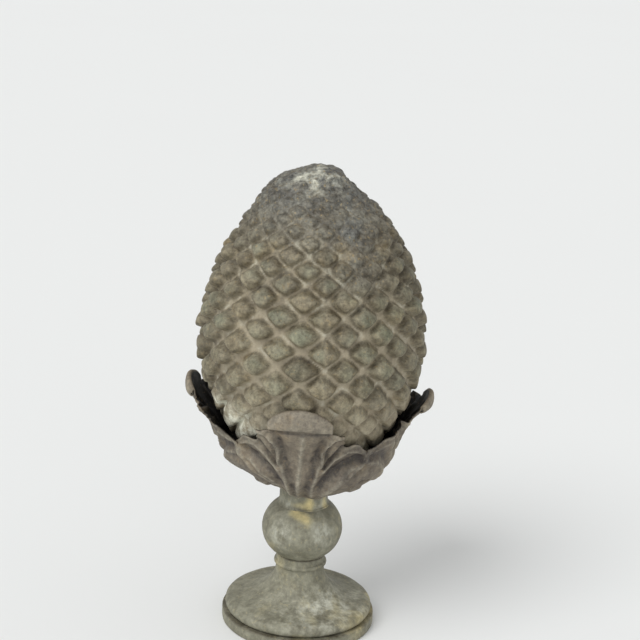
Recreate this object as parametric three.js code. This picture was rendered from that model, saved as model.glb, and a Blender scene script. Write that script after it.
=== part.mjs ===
// A pinecone finial of stamped and spun sheet zinc, in millimetres, +Z up.
// The front faces -Y, and the origin lies under the middle of the foot.
// The cone of scales sits on a short neck inside a cup of four acanthus leaves, over a flattened ball
// knop and a round spreading foot. Angles round the axis are in degrees from the front, positive to +X.
import * as THREE from "three";

// Sheet metal and the gap that is left where two pieces are soldered together
const sheet = 1.6;
const seam = 0.3;
const turnedSides = 28;

// Foot, from the ground up
const footRadius = 80;
const plinthHeight = 12;
const torusHeight = 12;
const torusInset = 3;
const flareHeight = 38;
const flareLip = 1;
const flareBottomRadius = 69;
const collarHeight = 12;
const collarRadius = 25.2;
const beadRadius = 2.6;

// Knop, an ellipsoid cut flat where the collar and the neck meet it
const knopRadius = 42.2;
const knopHeight = 57.5;

// Neck
const neckRadius = 25.2;
const neckHeight = 19.1;

// Leaf cup: a bowl that laps the neck, turns up and flares out to four rolled lips. Rises are above the
// widest part of the bowl. Each leaf is bent inwards from there by its own angle, or outwards by one
// below 0, and its bowl is as full as its squareness. The flare starts upright, and its shares give
// where it leans out to the lip, which rolls over and round to its end angle.
const leafCount = 4;
const cupLap = 8;
const bowlRadius = 88.5;
const bowlDepth = 49;
const flareRadius = 116.5;
const flareRise = 48;
const flareUpright = 0.42;
const flareLean = 0.3;
const flareLeanRise = 0.62;
const lipWidth = 8.6;
const lipHeight = 19;
const lipRise = 73;
const lipEndAngle = -55;
const leafShapes = {
  front: { bend: 7, squareness: 1.65 },
  right: { bend: -1.7, squareness: 1.65 },
  back: { bend: 0, squareness: 1.65 },
  left: { bend: -1.2, squareness: 1.45 },
};
const cupTurn = -3.4;
const leafGap = 0.8;
const lobeFold = 8;
const lobeFoldPower = 1.5;
const lobeFoldFrom = -7;
const lobeFoldFull = 57;
const lipHalfAngle = 14.8;
const shoulderHalfAngle = 24.2;
const shoulderRise = 51;
const shoulderSlope = 4;
const lobeHalfAngle = 34;
const lobeRise = 35;
const marginRise = 24;

// The front and back leaves lap the other two, so low in the bowl they are narrow and the others wide
const narrowHalfAngle = 20;
const narrowUpTo = 25;
const evenFrom = 70;

// Stamped ridges and flutes of a leaf. Each is at a distance from the leaf's middle where the bowl is
// widest, and fans out by some more up to the lip's height; a flute has a height below 0.
const leafStrokes = [
  { from: 0, fan: 0, halfWidth: 3.2, height: 2.2 },
  { from: 12, fan: 16, halfWidth: 5, height: -2 },
  { from: 18, fan: 37, halfWidth: 4.5, height: 2.4 },
  { from: 29, fan: 92, halfWidth: 8, height: -2.4 },
];
const rimInset = 3;
const rimHalfWidth = 3.5;
const rimHeight = 1.8;
const strokeStart = 2;
const strokeFull = 22;
const strokeFadeRise = 53;
const strokeEndRise = 64;

// Cone of scales; the profile is given as shares of its height and of its radius between the scales
const coneHeight = 333;
const coneRadius = 107;
const coneShape = [
  [0, 0.225],
  [0.032, 0.34],
  [0.109, 0.515],
  [0.2, 0.735],
  [0.306, 0.9],
  [0.427, 0.997],
  [0.546, 0.982],
  [0.665, 0.9],
  [0.77, 0.77],
  [0.862, 0.605],
  [0.93, 0.42],
  [0.98, 0.2],
  [1, 0],
];
const scalesRound = 15;
const scaleHeightToWidth = 0.755;
const scaleRelief = 0.06;
const scaleFlat = 0.64;
const scaleFlatRelief = 0.8;
const scaleDroop = 0.1;
const firstColumnAngle = 7;
const anchorRingShare = 0.516;
const lowestScaleShare = 0.14;
const highestScaleShare = 0.949;
const wornFromShare = 0.693;
const wornRelief = 0.25;
const dentPush = 7;
const dentShare = 0.944;
const dentSpan = 0.077;
const coneProfileSteps = 240;
const capStopShares = [0.3, 0.7];
const seatStopShares = [0.6, 0.25, 0];

// Heights above the ground that follow from those sizes
const footTop = plinthHeight + torusHeight + flareHeight + collarHeight;
const knopBottom = footTop + seam;
const knopTop = knopBottom + knopHeight;
const neckBottom = knopTop + seam;
const neckTop = neckBottom + neckHeight;
const bowlFloor = neckTop - cupLap;
const bowlWidest = bowlFloor + bowlDepth;
const leafHalfAngle = 180 / leafCount;
const coneBottom = neckTop + seam;

const radians = THREE.MathUtils.degToRad;
const { clamp, smoothstep, lerp } = THREE.MathUtils;

function zinc(color, roughness) {
  return new THREE.MeshStandardMaterial({ color, roughness, metalness: 0.35 });
}

function meshNamed(name, geometry, material) {
  const mesh = new THREE.Mesh(geometry, material);
  mesh.name = name;
  return mesh;
}

// A turned solid whose profile runs from the axis at the bottom to the axis at the top
function turned(points) {
  const lathe = new THREE.LatheGeometry(points, turnedSides);
  lathe.rotateX(Math.PI / 2);
  return lathe;
}

// Points of an arc in the (radius, height) plane, from one angle to another, ends included
function arc(radius, height, radiusX, radiusY, from, to, steps) {
  return Array.from({ length: steps + 1 }, (_, i) => {
    const angle = radians(lerp(from, to, i / steps));
    return new THREE.Vector2(
      radius + radiusX * Math.cos(angle),
      height + radiusY * Math.sin(angle),
    );
  });
}

// A point at a distance from the axis, at an angle round it in degrees from the front
function around(radius, angle, height) {
  const turn = radians(angle);
  return new THREE.Vector3(
    radius * Math.sin(turn),
    -radius * Math.cos(turn),
    height,
  );
}

// Solid with its triangles listed as point indices, wound to face out
function faceted(points, triangles) {
  const geometry = new THREE.BufferGeometry();
  geometry.setAttribute(
    "position",
    new THREE.Float32BufferAttribute(
      points.flatMap((p) => [p.x, p.y, p.z]),
      3,
    ),
  );
  geometry.setIndex(triangles);
  geometry.computeVertexNormals();
  return geometry;
}

function makeFoot() {
  const torusBottom = plinthHeight;
  const torusTop = torusBottom + torusHeight;
  const torusMiddle = (torusBottom + torusTop) / 2;
  const torusHub = footRadius - torusInset - torusHeight / 2;
  const flareTop = torusTop + flareHeight;
  const profile = [
    new THREE.Vector2(0, 0),
    new THREE.Vector2(footRadius, 0),
    new THREE.Vector2(footRadius, plinthHeight),
    ...arc(torusHub, torusMiddle, torusHeight / 2, torusHeight / 2, -60, 60, 2),
    new THREE.Vector2(flareBottomRadius, torusTop),
    ...arc(
      flareBottomRadius,
      flareTop,
      flareBottomRadius - collarRadius,
      flareHeight - flareLip,
      -90,
      -180,
      5,
    ),
    new THREE.Vector2(collarRadius + beadRadius, flareTop + beadRadius),
    new THREE.Vector2(collarRadius, flareTop + 2 * beadRadius),
    new THREE.Vector2(collarRadius, footTop),
    new THREE.Vector2(0, footTop),
  ];
  return turned(profile);
}

function makeKnop() {
  const middle = (knopBottom + knopTop) / 2;
  // The flats have the neck's radius, which sets how far round the ellipse runs and how tall it is
  const cut = Math.acos(neckRadius / knopRadius);
  const halfHeight = knopHeight / 2 / Math.sin(cut);
  const reach = THREE.MathUtils.radToDeg(cut);
  return turned([
    new THREE.Vector2(0, knopBottom),
    ...arc(0, middle, knopRadius, halfHeight, -reach, reach, 7),
    new THREE.Vector2(0, knopTop),
  ]);
}

function makeNeck() {
  return turned([
    new THREE.Vector2(0, neckBottom),
    new THREE.Vector2(neckRadius, neckBottom),
    new THREE.Vector2(neckRadius, neckTop),
    new THREE.Vector2(0, neckTop),
  ]);
}

// Steps that the three parts of a leaf's profile are drawn in
const bowlSteps = 12;
const flareSteps = 12;
const lipSteps = 8;

// Outer face of a leaf down its middle, from the neck up over the rolled lip
function leafProfile({ bend, squareness }) {
  const start = neckRadius + seam + sheet;
  const power = 2 / squareness;
  const startAngle = Math.asin((start / bowlRadius) ** (1 / power));
  const bowl = Array.from({ length: bowlSteps + 1 }, (_, i) => {
    const angle = lerp(startAngle, Math.PI / 2, i / bowlSteps);
    const drop = bowlDepth * Math.max(Math.cos(angle), 0) ** power;
    return new THREE.Vector2(
      bowlRadius * Math.sin(angle) ** power,
      bowlWidest - drop,
    );
  });
  const hinge = new THREE.Vector2(bowlRadius, bowlWidest);
  const bent = (x, y) =>
    new THREE.Vector2(x, y).rotateAround(hinge, radians(bend));
  const flare = new THREE.CubicBezierCurve(
    hinge,
    new THREE.Vector2(bowlRadius, bowlWidest + flareRise * flareUpright),
    bent(flareRadius - flareRise * flareLean, bowlWidest + flareRise * flareLeanRise),
    bent(flareRadius, bowlWidest + flareRise),
  );
  const roll = arc(
    flareRadius + lipWidth / 2,
    bowlWidest + lipRise - lipHeight / 2,
    lipWidth / 2,
    lipHeight / 2,
    180,
    lipEndAngle,
    lipSteps,
  );
  return [
    ...bowl,
    ...flare.getPoints(flareSteps).slice(1),
    ...roll.map((p) => bent(p.x, p.y)),
  ];
}

// Walks a profile by its length, and gives the point and the outward normal there
function walker(points) {
  const at = [0];
  points
    .slice(1)
    .forEach((p, i) => at.push(at[i] + p.distanceTo(points[i])));
  const length = at[at.length - 1];
  const point = (distance) => {
    const d = clamp(distance, 0, length);
    const i = clamp(at.findIndex((a) => a >= d) - 1, 0, points.length - 2);
    return points[i]
      .clone()
      .lerp(points[i + 1], (d - at[i]) / (at[i + 1] - at[i]));
  };
  const normal = (distance) => {
    const reach = length / 150;
    const along = point(distance + reach).sub(point(distance - reach));
    return new THREE.Vector2(along.y, -along.x).normalize();
  };
  const distanceAtHeight = (height) => {
    const i = points.findIndex((p) => p.y >= height);
    const share = (height - points[i - 1].y) / (points[i].y - points[i - 1].y);
    return lerp(at[i - 1], at[i], share);
  };
  return { length, point, normal, distanceAtHeight };
}

// How far up its profile a leaf reaches at an angle from its middle: under the lip, shoulder, lobe, margin
function leafReach(line, angle) {
  const off = Math.abs(angle);
  if (off <= shoulderHalfAngle) {
    const across = clamp((off - lipHalfAngle) / (shoulderHalfAngle - lipHalfAngle), 0, 1);
    const rise = shoulderRise + shoulderSlope * (1 - across);
    return line.distanceAtHeight(bowlWidest + rise);
  }
  const across = smoothstep(off, lobeHalfAngle, leafHalfAngle);
  return line.distanceAtHeight(bowlWidest + lerp(lobeRise, marginRise, across));
}

// Height of a rounded stroke, from 1 along its middle down to nothing past its half width
function stroke(offset, halfWidth) {
  return Math.exp(-((offset / halfWidth) ** 2));
}

// Half the angle that a leaf takes up at a height
function leafHalfAngleAt(height, lapsOthers) {
  const even = smoothstep(height - bowlFloor, narrowUpTo, evenFrom);
  const narrow = lerp(narrowHalfAngle, leafHalfAngle, even);
  return lapsOthers ? narrow : 2 * leafHalfAngle - narrow;
}

// Stamped relief of a leaf, which fades out towards the neck and the lip
function leafRelief(angle, halfAngle, radius, height) {
  const across = radians(Math.abs(angle)) * radius;
  const toMargin = radians(halfAngle) * radius - across;
  const rise = height - bowlWidest;
  const strokes = leafStrokes.map(({ from, fan, halfWidth, height: tall }) => {
    const middle = from + (fan * rise) / lipRise;
    return tall * stroke(across - middle, halfWidth);
  });
  strokes.push(rimHeight * stroke(toMargin - rimInset, rimHalfWidth));
  const fadeIn = smoothstep(height - bowlFloor, strokeStart, strokeFull);
  const fadeOut = 1 - smoothstep(rise, strokeFadeRise, strokeEndRise);
  return strokes.reduce((sum, tall) => sum + tall) * fadeIn * fadeOut;
}

// Where a leaf's grid of facets has its columns, in degrees. Its lower rows are level all round, up to a
// rise that every part of the leaf passes, and the next are spaced up to its edge. Only the lip has more.
const leafColumns = [0, 4.9, 9.8, lipHalfAngle, 19.5, 23.9, 25, 31, 38, 45];
const levelRise = 12;
const levelRows = 6;
const edgeRows = 4;
const lipRows = 5;

function makeLeaf(middleAngle, shape, lapsOthers) {
  const leafLine = walker(leafProfile(shape));
  const angles = [...leafColumns.slice(1).map((a) => -a).reverse(), ...leafColumns];
  const across = angles.length;
  const levelTop = leafLine.distanceAtHeight(bowlWidest + levelRise);
  const edgeRow = levelRows + edgeRows;
  const up = edgeRow + lipRows + 1;
  const distanceAt = (row, angle) => {
    const edge = leafReach(leafLine, angle);
    if (row <= levelRows) return (levelTop * row) / levelRows;
    if (row <= edgeRow) return lerp(levelTop, edge, (row - levelRows) / edgeRows);
    return lerp(edge, leafLine.length, (row - edgeRow) / lipRows);
  };
  const place = (angle, row, depth) => {
    const distance = distanceAt(row, angle);
    const line = leafLine.point(distance);
    const normal = leafLine.normal(distance);
    const fold =
      lobeFold *
      (Math.abs(angle) / leafHalfAngle) ** lobeFoldPower *
      smoothstep(line.y - bowlWidest, lobeFoldFrom, lobeFoldFull);
    const halfAngle = leafHalfAngleAt(line.y, lapsOthers);
    const clear = THREE.MathUtils.radToDeg(leafGap / 2 / line.x);
    const spread = (angle * (halfAngle - clear)) / leafHalfAngle;
    const out = leafRelief(spread, halfAngle, line.x, line.y) - depth;
    const radius = line.x + normal.x * out - fold;
    return around(radius, middleAngle + spread, line.y + normal.y * out);
  };

  const points = [];
  const indexOf = new Map();
  const corner = (face, [row, column]) => {
    const key = (face * up + row) * across + column;
    if (!indexOf.has(key))
      indexOf.set(key, points.push(place(angles[column], row, face * sheet)) - 1);
    return indexOf.get(key);
  };
  const isSheet = (row, column) => {
    if (row < 0 || column < 0 || row + 1 >= up || column + 1 >= across) return false;
    const middle = Math.abs(angles[column] + angles[column + 1]) / 2;
    return row < edgeRow || middle < lipHalfAngle;
  };
  const triangles = [];
  const quad = (a, b, c, d) => triangles.push(a, b, c, a, c, d);
  for (let row = 0; row + 1 < up; row++)
    for (let column = 0; column + 1 < across; column++) {
      if (!isSheet(row, column)) continue;
      const [a, b] = [[row, column], [row, column + 1]];
      const [c, d] = [[row + 1, column + 1], [row + 1, column]];
      quad(corner(0, a), corner(0, b), corner(0, c), corner(0, d));
      quad(corner(1, a), corner(1, d), corner(1, c), corner(1, b));
      // The sheet's cut edge, wherever it has no neighbour
      const edge = (from, to) =>
        quad(corner(0, from), corner(1, from), corner(1, to), corner(0, to));
      if (!isSheet(row - 1, column)) edge(a, b);
      if (!isSheet(row, column + 1)) edge(b, c);
      if (!isSheet(row + 1, column)) edge(c, d);
      if (!isSheet(row, column - 1)) edge(d, a);
    }
  return faceted(points, triangles);
}

// Side of the cone between its scales, as a smooth curve from the seat to the tip
function coneProfile() {
  const curve = new THREE.SplineCurve(
    coneShape.map(
      ([up, out]) =>
        new THREE.Vector2(out * coneRadius, coneBottom + up * coneHeight),
    ),
  );
  return curve.getPoints(coneProfileSteps);
}

const coneLine = walker(coneProfile());

// Distances up the profile of the rings of scales, whose steps shrink with the cone's radius
function scaleRings() {
  const step = (Math.PI / scalesRound) * scaleHeightToWidth;
  const height = (share) => coneBottom + share * coneHeight;
  const lowest = coneLine.distanceAtHeight(height(lowestScaleShare));
  const highest = coneLine.distanceAtHeight(height(highestScaleShare));
  const anchor = coneLine.distanceAtHeight(height(anchorRingShare));
  const rings = [anchor];
  while (rings[0] > lowest)
    rings.unshift(rings[0] - step * coneLine.point(rings[0]).x);
  const below = rings.length - 1;
  while (rings[rings.length - 1] < highest) {
    const last = rings[rings.length - 1];
    rings.push(last + step * coneLine.point(last).x);
  }
  return { rings, below };
}

// A point of the cone, raised by its scale and knocked over near the top
function conePoint(distance, angle, raised) {
  const line = coneLine.point(distance);
  const normal = coneLine.normal(distance);
  const up = (line.y - coneBottom) / coneHeight;
  const worn = smoothstep(up, wornFromShare, highestScaleShare);
  const wear = lerp(1, wornRelief, worn);
  const out = raised * scaleRelief * line.x * wear;
  const point = around(line.x + normal.x * out, angle, line.y + normal.y * out);
  point.x -= dentPush * stroke(up - dentShare, dentSpan) * (1 - smoothstep(up, dentShare, 1));
  return point;
}

function makeCone() {
  const { rings, below } = scaleRings();
  const columns = 2 * scalesRound;
  const turn = 360 / columns;
  const top = rings.length - 1;
  const points = [];
  const triangles = [];
  const add = (distance, angle, raised) =>
    points.push(conePoint(distance, angle, raised)) - 1;
  const isScale = (ring, column) => (ring + column + below) % 2 === 0;
  const wrap = (column) => (column + columns) % columns;

  // Lattice points between the scales
  const corner = rings.map((distance, ring) =>
    Array.from({ length: columns }, (_, column) =>
      isScale(ring, column) ? -1 : add(distance, firstColumnAngle + column * turn, 0),
    ),
  );

  // Each scale is a diamond with a steep border and a low pointed top that droops a little
  for (let ring = 1; ring < top; ring++)
    for (let column = 0; column < columns; column++) {
      if (!isScale(ring, column)) continue;
      const middle = rings[ring];
      const angle = firstColumnAngle + column * turn;
      const up = rings[ring + 1] - middle;
      const down = middle - rings[ring - 1];
      const droop = scaleDroop * down;
      const outer = [
        corner[ring - 1][column],
        corner[ring][wrap(column + 1)],
        corner[ring + 1][column],
        corner[ring][wrap(column - 1)],
      ];
      const inner = [
        add(middle - down * scaleFlat, angle, scaleFlatRelief),
        add(middle - droop, angle + turn * scaleFlat, scaleFlatRelief),
        add(middle + up * scaleFlat, angle, scaleFlatRelief),
        add(middle - droop, angle - turn * scaleFlat, scaleFlatRelief),
      ];
      const tip = add(middle - droop, angle, 1);
      for (let side = 0; side < 4; side++) {
        const next = (side + 1) % 4;
        triangles.push(inner[side], inner[next], tip);
        // The border's diagonals run from the upper and lower corners, alike on the left and right
        if (side % 2 === 0) {
          triangles.push(outer[side], outer[next], inner[next]);
          triangles.push(outer[side], inner[next], inner[side]);
        } else {
          triangles.push(outer[side], outer[next], inner[side]);
          triangles.push(outer[next], inner[next], inner[side]);
        }
      }
    }

  // Plain bands close the zigzag edges of the lattice down to the seat and up to the tip
  const zigzag = (ring, beyond) =>
    Array.from({ length: columns }, (_, column) =>
      isScale(ring, column) ? corner[beyond][column] : corner[ring][column],
    );
  const band = (from, to, faceUp) => {
    for (let column = 0; column < columns; column++) {
      const next = wrap(column + 1);
      const [a, b, c, d] = [from[column], from[next], to[next], to[column]];
      if (faceUp) triangles.push(a, b, c, a, c, d);
      else triangles.push(a, c, b, a, d, c);
    }
  };
  const plainRing = (distance) =>
    Array.from({ length: columns }, (_, column) =>
      add(distance, firstColumnAngle + column * turn, 0),
    );
  const close = (from, stops, end, faceUp) => {
    let edge = from;
    for (const stop of stops) {
      const ring = plainRing(stop);
      band(edge, ring, faceUp);
      edge = ring;
    }
    const pole = points.push(end) - 1;
    for (let column = 0; column < columns; column++) {
      const next = wrap(column + 1);
      if (faceUp) triangles.push(edge[column], edge[next], pole);
      else triangles.push(edge[next], edge[column], pole);
    }
  };
  const capStops = capStopShares.map((share) =>
    lerp(rings[top], coneLine.length, share),
  );
  const tipPoint = conePoint(coneLine.length, 0, 0);
  close(zigzag(top - 1, top), capStops, tipPoint, true);
  const seatStops = seatStopShares.map((share) => rings[0] * share);
  const seatPoint = new THREE.Vector3(0, 0, coneBottom);
  close(zigzag(1, 0), seatStops, seatPoint, false);
  return faceted(points, triangles);
}

const finial = new THREE.Group();
const bodyFinish = zinc(0x7a7362, 0.8);
const leafFinish = zinc(0x6d655a, 0.75);
const baseFinish = zinc(0x78755f, 0.7);
finial.add(meshNamed("foot", makeFoot(), baseFinish));
finial.add(meshNamed("ball_knop", makeKnop(), baseFinish));
finial.add(meshNamed("neck", makeNeck(), baseFinish));
Object.entries(leafShapes).forEach(([side, shape], i) => {
  const middleAngle = cupTurn + (i * 360) / leafCount;
  const lapsOthers = side === "front" || side === "back";
  const leaf = makeLeaf(middleAngle, shape, lapsOthers);
  finial.add(meshNamed(`leaf_${side}`, leaf, leafFinish));
});
finial.add(meshNamed("pinecone", makeCone(), bodyFinish));

export default finial;
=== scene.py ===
import bpy
import math
import numpy as np
from mathutils import Matrix, Vector, noise


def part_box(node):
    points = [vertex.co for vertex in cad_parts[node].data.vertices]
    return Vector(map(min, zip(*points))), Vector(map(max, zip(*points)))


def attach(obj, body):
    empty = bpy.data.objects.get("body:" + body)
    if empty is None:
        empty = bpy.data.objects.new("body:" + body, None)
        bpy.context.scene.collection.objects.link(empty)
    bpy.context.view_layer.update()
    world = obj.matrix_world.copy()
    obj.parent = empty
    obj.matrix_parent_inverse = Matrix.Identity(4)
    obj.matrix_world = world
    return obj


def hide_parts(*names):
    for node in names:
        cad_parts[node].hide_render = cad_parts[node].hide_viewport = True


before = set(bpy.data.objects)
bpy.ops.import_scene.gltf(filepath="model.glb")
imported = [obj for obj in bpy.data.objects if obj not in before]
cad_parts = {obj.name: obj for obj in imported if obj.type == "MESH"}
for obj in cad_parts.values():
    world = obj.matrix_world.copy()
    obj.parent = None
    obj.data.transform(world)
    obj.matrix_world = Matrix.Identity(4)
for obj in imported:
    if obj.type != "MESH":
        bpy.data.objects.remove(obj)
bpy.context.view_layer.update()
print("frame loaded:", len(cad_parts), "solids")

# Shapes are worked out in millimetres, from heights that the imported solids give
perMetre = 1000
coneBottom, coneApex = (corner.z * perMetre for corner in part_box("pinecone"))
neckBottom, neckTop = (corner.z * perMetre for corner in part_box("neck"))
knopBottom, knopTop = (corner.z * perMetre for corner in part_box("ball_knop"))
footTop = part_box("foot")[1].z * perMetre
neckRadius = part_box("neck")[1].x * perMetre
cupLap = 8
cupFloor = neckTop - cupLap


# Small helpers for numbers and curves
def blend(low, high, share):
    return low + (high - low) * share


def smooth(value, low, high):
    share = np.clip((value - low) / (high - low), 0, 1)
    return share * share * (3 - 2 * share)


def fadeOut(value, low, high):
    return 1 - smooth(value, low, high)


def swell(offset, halfWidth):
    return np.exp(-((offset / halfWidth) ** 2))


def curveThrough(points, count):
    points = np.array(points, float)
    last = len(points) - 1
    at = np.linspace(0, last, count)
    low = np.minimum(at.astype(int), last - 1)
    t = (at - low)[:, None]
    before, start, end, after = (points[np.clip(low + step, 0, last)] for step in (-1, 0, 1, 2))
    leave, arrive = (end - before) / 2, (after - start) / 2
    cubic = (2 * start - 2 * end + leave + arrive) * t**3
    square = (-3 * start + 3 * end - 2 * leave - arrive) * t**2
    return cubic + square + leave * t + start


def ellipseArc(centre, radii, fromAngle, toAngle, count):
    angle = np.radians(np.linspace(fromAngle, toAngle, count))
    return np.stack((centre[0] + radii[0] * np.cos(angle), centre[1] + radii[1] * np.sin(angle)), axis=1)


# Walks an outline in the (radius, height) plane by its length
class Outline:
    def __init__(self, points):
        self.points = np.array(points, float)
        steps = np.hypot(*np.diff(self.points, axis=0).T)
        self.at = np.concatenate(([0], np.cumsum(steps)))
        self.length = self.at[-1]

    def point(self, distance):
        radius = np.interp(distance, self.at, self.points[:, 0])
        return np.array((radius, np.interp(distance, self.at, self.points[:, 1])))

    def normal(self, distance, share=1 / 150):
        reach = self.length * share
        ahead = self.point(np.minimum(distance + reach, self.length))
        behind = self.point(np.maximum(distance - reach, 0))
        across, along = ahead - behind
        return np.array((along, -across)) / np.hypot(across, along)

    def distanceAt(self, height):
        top = np.argmax(self.points[:, 1])
        return np.interp(height, self.points[: top + 1, 1], self.at[: top + 1])


# Places a radius, an angle in degrees from the front and a height as points
def around(radius, angle, height):
    turn = np.radians(angle)
    return np.stack((radius * np.sin(turn), -radius * np.cos(turn), height + 0 * turn), axis=-1)


# A soft patch is given as (angle, reach, height, half height, share)
def softPatch(turned, level, place):
    angle, reach, height, halfHeight, share = place
    return swell(turned - angle, reach) * swell(level - height, halfHeight) * share


# Angles from the front, from -180 to 180 degrees
def fromFront(angle):
    return (angle + 180) % 360 - 180


# Waves are noise over points, given as (size in millimetres, seed, octaves, share)
seedSteps = np.array((7.3, 3.1, 5.7))


def wave(points, settings, extraSeed=0):
    size, seed, octaves, share = settings
    flat = points.reshape(-1, 3) / size + (seed + extraSeed) * seedSteps
    values = [noise.fractal(Vector(p), 1.0, 2.0, octaves) for p in flat]
    return np.array(values).reshape(points.shape[:-1]) * share


# Puts a mesh, light or camera into the scene
def addObject(name, data):
    thing = bpy.data.objects.new(name, data)
    bpy.context.scene.collection.objects.link(thing)
    return thing


# Makes a piece from points in millimetres, faces and masks that its material reads
def makePiece(name, points, faces, masks, material):
    mesh = bpy.data.meshes.new(name)
    mesh.from_pydata((points.reshape(-1, 3) / perMetre).tolist(), [], faces)
    mesh.update()
    for maskName, values in masks.items():
        layer = mesh.attributes.new(maskName, "FLOAT", "POINT")
        layer.data.foreach_set("value", np.ascontiguousarray(values.reshape(-1), dtype=np.float32))
    mesh.polygons.foreach_set("use_smooth", [True] * len(mesh.polygons))
    mesh.materials.append(material)
    return addObject(name, mesh)


# Makes a piece from rings of points that run upwards, closed at both ends by a middle point
def makeRoundPiece(name, points, masks, ends, endMasks, material):
    rings, columns = points.shape[:2]
    index = np.arange(rings * columns).reshape(rings, columns)
    after = np.roll(index, -1, axis=1)
    top, foot = rings * columns, rings * columns + 1
    faces = np.stack((index[:-1], after[:-1], after[1:], index[1:]), axis=-1).reshape(-1, 4).tolist()
    faces += [(int(a), int(b), top) for a, b in zip(index[-1], after[-1])]
    faces += [(int(b), int(a), foot) for a, b in zip(index[0], after[0])]
    allPoints = np.concatenate((points.reshape(-1, 3), ends))
    masks = {key: np.append(values.reshape(-1), (endMasks.get(key, 0), 0)) for key, values in masks.items()}
    return makePiece(name, allPoints, faces, masks, material)


# Puts a piece on the finial in place of its solid
def fitPiece(piece, node):
    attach(piece, "root")
    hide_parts(node)
    print("made", piece.name, len(piece.data.polygons), "faces")


# Node helpers
def plug(tree, socket, value):
    if isinstance(value, bpy.types.NodeSocket):
        tree.links.new(value, socket)
    else:
        socket.default_value = value


def calc(tree, operation, first, second=0.0, clamp=False):
    node = tree.nodes.new("ShaderNodeMath")
    node.operation = operation
    node.use_clamp = clamp
    plug(tree, node.inputs[0], first)
    plug(tree, node.inputs[1], second)
    return node.outputs[0]


def times(tree, first, second):
    return calc(tree, "MULTIPLY", first, second)


def plus(tree, first, second, clamp=False):
    return calc(tree, "ADD", first, second, clamp)


def minus(tree, first, second):
    return calc(tree, "SUBTRACT", first, second)


def remap(tree, value, span, newSpan=(0.0, 1.0)):
    node = tree.nodes.new("ShaderNodeMapRange")
    node.interpolation_type = "SMOOTHSTEP"
    for name, setting in zip(("From Min", "From Max", "To Min", "To Max"), (*span, *newSpan)):
        plug(tree, node.inputs[name], setting)
    plug(tree, node.inputs["Value"], value)
    return node.outputs["Result"]


def mixColour(tree, share, first, second, blendType="MIX"):
    node = tree.nodes.new("ShaderNodeMix")
    node.data_type = "RGBA"
    node.blend_type = blendType
    plug(tree, node.inputs[0], share)
    plug(tree, node.inputs[6], first)
    plug(tree, node.inputs[7], second)
    return node.outputs[2]


def noiseNode(tree, place, scale, detail, roughness=0.6):
    node = tree.nodes.new("ShaderNodeTexNoise")
    plug(tree, node.inputs["Vector"], place)
    plug(tree, node.inputs["Scale"], scale)
    node.inputs["Detail"].default_value = detail
    node.inputs["Roughness"].default_value = roughness
    return node.outputs["Fac"]


def masksOf(tree, *names):
    for name in names:
        node = tree.nodes.new("ShaderNodeAttribute")
        node.attribute_name = name
        yield node.outputs["Fac"]


def newGroup(name, inputs, outputs):
    group = bpy.data.node_groups.new(name, "ShaderNodeTree")
    for way, sockets in (("INPUT", inputs), ("OUTPUT", outputs)):
        for socketName, kind in sockets:
            group.interface.new_socket(socketName, in_out=way, socket_type="NodeSocket" + kind)
    source = group.nodes.new("NodeGroupInput")
    result = group.nodes.new("NodeGroupOutput")
    return group, source.outputs, result.inputs


def placeGroup(tree, group, **values):
    node = tree.nodes.new("ShaderNodeGroup")
    node.node_tree = group
    for name, value in values.items():
        plug(tree, node.inputs[name], value)
    return node.outputs


# A colour given in display values from 0 to 255
def colour(red, green, blue):
    channels = [c / 255 for c in (red, green, blue)]
    return [c / 12.92 if c <= 0.04045 else ((c + 0.055) / 1.055) ** 2.4 for c in channels] + [1]


# Weathered zinc. Spots are (times finer, detail, roughness), and spans are of a noise's values.
tarnishSpots = {
    "clouds": (1.0, 3.0, 0.6),
    "mottle": (4.3, 5.0, 0.68),
    "stains": (1.7, 4.0, 0.55),
    "blotches": (10.0, 3.0, 0.6),
    "grain": (17.0, 6.0, 0.72),
    "flecks": (23.0, 2.0, 0.5),
    "pits": (60.0, 2.0, 0.6),
}
tarnishLook = {
    "cloudSpan": (0.36, 0.66),
    "cloudShade": 0.3,
    "blotchSpan": (0.42, 0.66),
    "blotchShade": 0.3,
    "bloomSpan": (0.34, 0.68),
    "fleckSpan": (0.6, 0.7),
    "fleckShare": 0.6,
    "stainLift": 0.25,
    "stainSpan": (0.55, 0.9),
    "stainShare": 0.92,
    "lightSpan": (0.25, 0.75),
    "light": (0.84, 1.16),
    "grainSpan": (0.28, 0.72),
    "grainLight": (-0.55, 0.55),
    "pitSpan": (0.6, 0.74),
    "pitShade": 0.7,
    "roughSpan": (0.3, 0.7),
    "roughness": (0.56, 0.78),
    "mottleHeight": 0.6,
    "grainHeight": 0.3,
    "pitDepth": 0.25,
    "bumpDistance": 0.0012,
}


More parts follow.
